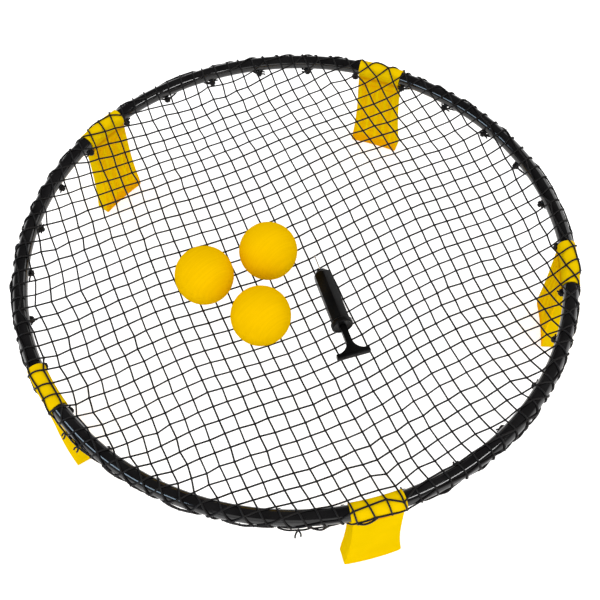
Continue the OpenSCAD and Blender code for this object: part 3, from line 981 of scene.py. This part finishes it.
def hook_loops(cord, rng):
    """Turns of cord on each hook's stem, with two curly cut ends."""
    paths = []
    for hook in HOOK_TURNS:
        radial = heading(hook)
        root = radial * RIM_R + UP * TUBE_Z
        along = (-radial - UP) * sqrt(0.5)
        side = np.cross(UP, radial)
        up = np.cross(along, side)
        turns = rng.uniform(*LOOP_TURNS)
        t = np.linspace(0, 1, 34)
        a = 2 * pi * turns * t + rng.uniform(0, 6.28)
        r = STEM_R + cord * 0.5 + cord * 0.35 * rng.uniform(0.6, 1.2) * np.sin(3.3 * a) ** 2
        h = LOOP_START + LOOP_RUN * t
        ring = side * np.cos(a)[:, None] + up * np.sin(a)[:, None]
        paths.append(root + along * h[:, None] + ring * r[:, None])
        for k in range(2):
            a0 = rng.uniform(0, 2 * pi)
            out = side * cos(a0) + up * sin(a0)
            curl = rng.uniform(-1, 1, 3) * END_CURL
            t = np.linspace(0, 1, 8)[:, None]
            reach = rng.uniform(*END_REACH)
            end = root + along * (END_START + END_APART * k) + out * (STEM_R + t * reach)
            paths.append(end + curl * t**2 - along * 0.001 * np.sin(3 * t))
    return paths


def slack_loops(rng):
    """Cords that hang off the tube's outer side in loops, some with a forked knot: cords and knots."""
    cords, knots = [], []
    for start, end, drop, forks in SLACK:
        t = np.linspace(0, 1, SLACK_POINTS)
        a = np.radians(start + (end - start) * t)
        hang = np.sin(pi * t) ** 0.7 * (1 + 0.12 * np.sin(9 * t + start))
        clear = np.where(leg_distance(a) < SLEEVE_HALF, SLEEVE_R, TUBE_R) + SLACK_CLEAR
        out = RIM_R + clear * cos(SLACK_SIDE) + 0.35 * drop * hang
        path = from_polar(out, a, TUBE_Z + clear * sin(SLACK_SIDE) - drop * hang)
        cords.append(path)
        for k in forks:
            knots.append(path[k])
            radial = path[k] * (1, 1, 0) / np.hypot(*path[k][:2])
            side = np.cross(UP, radial)
            for sign in (-1, 1):
                t = np.linspace(0, 1, 6)[:, None]
                reach = rng.uniform(*FORK_REACH)
                lean = side * sign * rng.uniform(0.1, 0.5) + radial * 0.6 - UP * 0.8
                cords.append(path[k] + lean * t * reach + side * sign * 0.0015 * np.sin(3 * t))
    return cords, np.array(knots)


# ---- Surfaces of the balls and the cord ----

STREAK_TURN = radians(-43)
STREAK_SCALE = (14, 520, 60)
STREAK_COLOUR = (0.96, 0.945, 1)

# Twisted cord: length of one turn in mm, strands, fibres to a metre
LAY = 3.2
STRANDS = 3.0
FIBRES = 900


def streak(material):
    """Fine brushed streaks that run over a ball at a slant."""
    tree, shader, plain = base_colour(material)
    turn = add_node(tree, "Mapping", {"Vector": place_in(tree), "Rotation": (0, 0, STREAK_TURN)})
    stretch = add_node(tree, "Mapping", {"Vector": turn.outputs[0], "Scale": STREAK_SCALE})
    tone = remap(tree, noise(tree, stretch.outputs[0], 1.0, 3.0), 0, 1, 0.36, 0.64)
    shade = mix_colour(tree, tone, STREAK_COLOUR, (1, 1, 1))
    fill(shader, {"Base Color": mix_colour(tree, 1.0, plain, shade, "MULTIPLY")})
    arrange(tree)


def cord_material(base):
    """Twisted cord: strands that wind along it, with stray lighter fibres, and painted shade that darkens the
    grooves between the strands.
    """
    material, tree, shader = new_material("Twisted cord")
    x, y, _ = axes(tree, add_node(tree, "UVMap", uv_map="cord").outputs[0])
    around = maths(tree, "ADD", maths(tree, "DIVIDE", y, LAY), maths(tree, "MULTIPLY", x, STRANDS))
    strands = maths(tree, "ABSOLUTE", maths(tree, "SINE", maths(tree, "MULTIPLY", around, pi)))
    fibres = remap(tree, noise(tree, place_in(tree), FIBRES), 0, 1, 0.5, 0.75)
    tone = mix_colour(tree, fibres, base, [c * 3 for c in base])
    # Painted shade: the colour darkens towards a third of the cord's in the grooves between the strands
    groove = remap(tree, strands, 0.6, 0, 0, 0.5)
    fill(shader, {
        "Base Color": mix_colour(tree, groove, tone, [c * 0.3 for c in base]),
        "Roughness": 0.6,
        "Specular IOR Level": 0.2,
        "Normal": bump(tree, strands, 0.6, 0.0003),
    })
    arrange(tree)
    return material


# ---- Stage ----

CAMERA_PLACE = (0.0680, -0.9139, 1.4876)
CAMERA_LENS = 58.33
CAMERA_DOWN = 57.429
CAMERA_HEADING = 3.835
CAMERA_ROLL = -1.105
FLOOR_Z = -0.0005

# Light of the room in front and behind, and what gloss mirrors by height and from left to right
ROOM_FRONT, ROOM_BACK = 1.22, 0.80
MIRROR_HEIGHTS = (0.10, 0.40)
MIRROR_LEFT, MIRROR_RIGHT, MIRROR_SIDES = 0.4, 1.5, (-0.7, 0.7)

# Lamps: place, aim, size, share of the power, colour, and whether it lights matt surfaces
WHITE, COOL = (1, 1, 1), (0.62, 0.81, 1.0)
LAMPS = {
    "lamp_front": ((0.1, -2.7, 1.3), (0, 0, 0.1), (2.2, 1.2), 1.55, WHITE, True),
    "gloss_left": ((-2.10, -1.25, 1.60), (-0.3, -0.35, 0.19), (2.8, 0.50), 8.5, COOL, False),
    "gloss_right": ((1.56, -1.14, 2.32), (0.3, -0.35, 0.19), (1.5, 0.35), 5.0, WHITE, False),
    "gloss_back": ((1.9, 2.0, 1.25), (0.1, -0.1, 0.2), (1.6, 0.8), 1.0, WHITE, False),
}


def make_camera():
    """The camera, aimed by its heading, its look down and its roll."""
    data = bpy.data.cameras.new("camera")
    data.lens = CAMERA_LENS
    data.sensor_fit = "HORIZONTAL"
    camera = add_object("camera", data)
    aim = rotation(CAMERA_HEADING) @ rotation(90 - CAMERA_DOWN, "X") @ rotation(CAMERA_ROLL)
    camera.matrix_world = Matrix.Translation(CAMERA_PLACE) @ aim
    bpy.context.scene.camera = camera


def make_lamp(name, power):
    place, aim, size, share, tint, matt = LAMPS[name]
    data = bpy.data.lights.new(name, "AREA")
    data.shape = "RECTANGLE"
    data.size, data.size_y = size
    data.energy = power * share
    data.color = tint
    light = add_object(name, data)
    light.location = place
    light.rotation_mode = "QUATERNION"
    light.rotation_quaternion = (Vector(aim) - Vector(place)).to_track_quat("-Z", "Y")
    light.visible_diffuse = matt


def floor_material(look):
    """A matt floor that glows for rays from the camera, a mirror or through glass."""
    material = bpy.data.materials.new("Studio floor")
    tree = empty_tree(material)
    rays = add_node(tree, "LightPath").outputs
    seen = maths(tree, "MAXIMUM", rays["Is Camera Ray"], rays["Is Glossy Ray"])
    seen = maths(tree, "MAXIMUM", seen, rays["Is Transmission Ray"])
    matt = add_node(tree, "BsdfDiffuse", {"Color": (0.9, 0.9, 0.9, 1)})
    glow = add_node(tree, "Emission", {"Strength": maths(tree, "MULTIPLY", seen, look.floor_glow)})
    both = add_node(tree, "AddShader", {0: matt.outputs[0], 1: glow.outputs[0]})
    add_node(tree, "OutputMaterial", {"Surface": both.outputs[0]})
    arrange(tree)
    return material


def make_world(look):
    """A white room: even light on matt surfaces, and light and dark sides for gloss to mirror."""
    world = bpy.context.scene.world = bpy.data.worlds.new("Studio")
    tree = empty_tree(world)
    x, y, z = axes(tree, place_in(tree, "Generated"))
    height = remap(tree, z, 1.0, look.ceiling, *MIRROR_HEIGHTS)
    side = remap(tree, x, MIRROR_LEFT, MIRROR_RIGHT, *MIRROR_SIDES)
    room = remap(tree, y, ROOM_FRONT * look.room_light, ROOM_BACK * look.room_light, -1.0, 1.0)
    rays = add_node(tree, "LightPath").outputs
    light = mix_value(tree, rays["Is Glossy Ray"], room, maths(tree, "MULTIPLY", height, side))
    straight = maths(tree, "MAXIMUM", rays["Is Camera Ray"], rays["Is Transmission Ray"])
    strength = mix_value(tree, straight, light, 1.0)
    sky = add_node(tree, "Background", {"Color": (1, 1, 1, 1), "Strength": strength})
    add_node(tree, "OutputWorld", {"Surface": sky.outputs[0]})
    arrange(tree)


# ---- Operators ----


class ROUNDNET_OT_rim(Operator):
    """Finish the tubes and the hooks of the rim"""

    bl_idname = "roundnet.rim"
    bl_label = "Rim tubes and hooks"

    def execute(self, context):
        look = context.scene.roundnet_rim
        tube = moulded("Gloss tube", look.tube_colour)
        hook = moulded("Hook nylon", look.hook_colour)
        for n in range(1, LEGS + 1):
            dress(f"rim_tube_{n}", tube)
            dress(f"net_hooks_{n}", hook)
        return {"FINISHED"}


class ROUNDNET_OT_legs(Operator):
    """Finish the five legs"""

    bl_idname = "roundnet.legs"
    bl_label = "Legs"

    def execute(self, context):
        look = context.scene.roundnet_rim
        plastic = moulded("Leg plastic", look.leg_colour)
        # Paints shade and highlights into the legs' colour: deeper orange on the inner walls and foot,
        # lighter ribs, a dark band under the sleeve
        paint_leg_shading(plastic, look.leg_shaded_inner, look.leg_shaded_foot)
        leg = leg_piece(look)
        leg.data.materials.clear()
        leg.data.materials.append(plastic)
        for n in range(LEGS):
            copy = turned(leg, f"moulded_leg_{n + 1}", Matrix.Rotation(n * LEG_STEP, 4, "Z"))
            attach(copy, "frame")
            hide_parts(f"leg_{n + 1}")
        bpy.data.objects.remove(leg)
        return {"FINISHED"}


class ROUNDNET_OT_net(Operator):
    """Draw the net over the rim and tie it to the hooks"""

    bl_idname = "roundnet.net"
    bl_label = "Net"

    def execute(self, context):
        look = context.scene.roundnet_net
        net = Net(look)
        rng = np.random.default_rng(11)
        cord = cord_material(look.cord_colour)
        cords = tube_mesh("net_cords", [net.points[row] * MM for row in net.paths], look.cord_d / 2)
        slack, slack_knots = slack_loops(rng)
        places = np.concatenate([net.points[: len(net.index)] * MM, slack_knots])
        knots = knot_mesh("net_knots", places, look.knot_d, rng)
        loops = tube_mesh("net_ties", hook_loops(look.cord_d, rng) + slack, look.cord_d / 2)
        edge = net.edge()
        out = edge / norm(edge[:, :2], axis=1)[:, None] * (1, 1, 0)
        rope = tube_mesh("net_edge", [threaded((edge + out * 0.3) * MM, rng)], look.cord_d * 0.55, False)
        for piece in (cords, knots, loops, rope):
            piece.data.materials.append(cord)
            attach(piece, "frame")
        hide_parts("net")
        return {"FINISHED"}


class ROUNDNET_OT_balls(Operator):
    """Finish the balls and their valves"""

    bl_idname = "roundnet.balls"
    bl_label = "Balls"

    def execute(self, context):
        look = context.scene.roundnet_ball
        rubber = moulded("Ball rubber", look.ball_colour)
        streak(rubber)
        valve = moulded("Valve rubber", look.valve_colour)
        for n in (1, 2, 3):
            dress(f"ball_{n}", rubber)
            dress(f"ball_valve_{n}", valve)
        return {"FINISHED"}


class ROUNDNET_OT_pump(Operator):
    """Finish the hand pump"""

    bl_idname = "roundnet.pump"
    bl_label = "Pump"

    def execute(self, context):
        look = context.scene.roundnet_pump
        plastic = moulded("Pump plastic", look.pump_colour)
        seal = moulded("Seal rubber", SEAL_COLOUR)
        metal = moulded("Needle metal", look.needle_colour)
        metal.node_tree.nodes["Principled BSDF"].inputs["Metallic"].default_value = 1
        # Each moulding's edge radius, the degrees within which its faces are joined, and its body
        pieces = {
            "pump_barrel": (0.0005, 1.5, "pump"),
            "pump_cap": (0.0004, 0, "pump"),
            "pump_plunger": (0.0004, 1.5, "plunger"),
        }
        for name, (edge, flat, body) in pieces.items():
            piece = merged_copy(name, flat)
            if name == "pump_plunger":
                reshape(piece, tighter_flare)
                for groove in GROOVES:
                    combine(piece, handle_groove(groove), "DIFFERENCE")
            if name == "pump_barrel":
                reshape(piece, rolled)
            bevel(piece, edge, 25, 2)
            edit(piece, "quads_convert_to_tris", quad_method="BEAUTY", ngon_method="BEAUTY")
            smooth(piece, 30)
            piece.data.materials.append(plastic)
            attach(piece, body)
            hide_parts(name)
        dress("pump_piston", plastic)
        dress("pump_cup_seal", seal)
        dress("pump_needle", metal)
        return {"FINISHED"}


class ROUNDNET_OT_stage(Operator):
    """Set up the floor, the camera and the lamps"""

    bl_idname = "roundnet.stage"
    bl_label = "Stage"

    def execute(self, context):
        look = context.scene.roundnet_stage
        context.scene.view_settings.view_transform = "Standard"
        make_camera()
        floor = primitive("plane", "floor", size=look.floor_size, location=(0, 0, FLOOR_Z))
        floor.data.materials.append(floor_material(look))
        make_world(look)
        for name in LAMPS:
            make_lamp(name, look.lamp_power)
        return {"FINISHED"}


class ROUNDNET_PT_panel(Panel):
    """Sizes, colours and the pieces"""

    bl_label = "Round net"
    bl_idname = "ROUNDNET_PT_panel"
    bl_space_type = "VIEW_3D"
    bl_region_type = "UI"
    bl_category = "Round net"

    def draw(self, context):
        for name in GROUPS:
            box = self.layout.box()
            look = getattr(context.scene, name)
            for prop in look.__annotations__:
                box.prop(look, prop)
        for operator in OPERATORS:
            self.layout.operator(operator.bl_idname)


GROUPS = {
    "roundnet_rim": RimLook,
    "roundnet_net": NetLook,
    "roundnet_ball": BallLook,
    "roundnet_pump": PumpLook,
    "roundnet_stage": StageLook,
}
OPERATORS = (
    ROUNDNET_OT_stage,
    ROUNDNET_OT_rim,
    ROUNDNET_OT_legs,
    ROUNDNET_OT_net,
    ROUNDNET_OT_balls,
    ROUNDNET_OT_pump,
)
CLASSES = (*GROUPS.values(), *OPERATORS, ROUNDNET_PT_panel)


def register():
    for item in CLASSES:
        bpy.utils.register_class(item)
    for name, group in GROUPS.items():
        setattr(Scene, name, PointerProperty(type=group))


def unregister():
    for name in GROUPS:
        delattr(Scene, name)
    for item in reversed(CLASSES):
        bpy.utils.unregister_class(item)


def main():
    register()
    for operator in OPERATORS:
        folder, name = operator.bl_idname.split(".")
        getattr(getattr(bpy.ops, folder), name)()


if __name__ == "__main__":
    main()
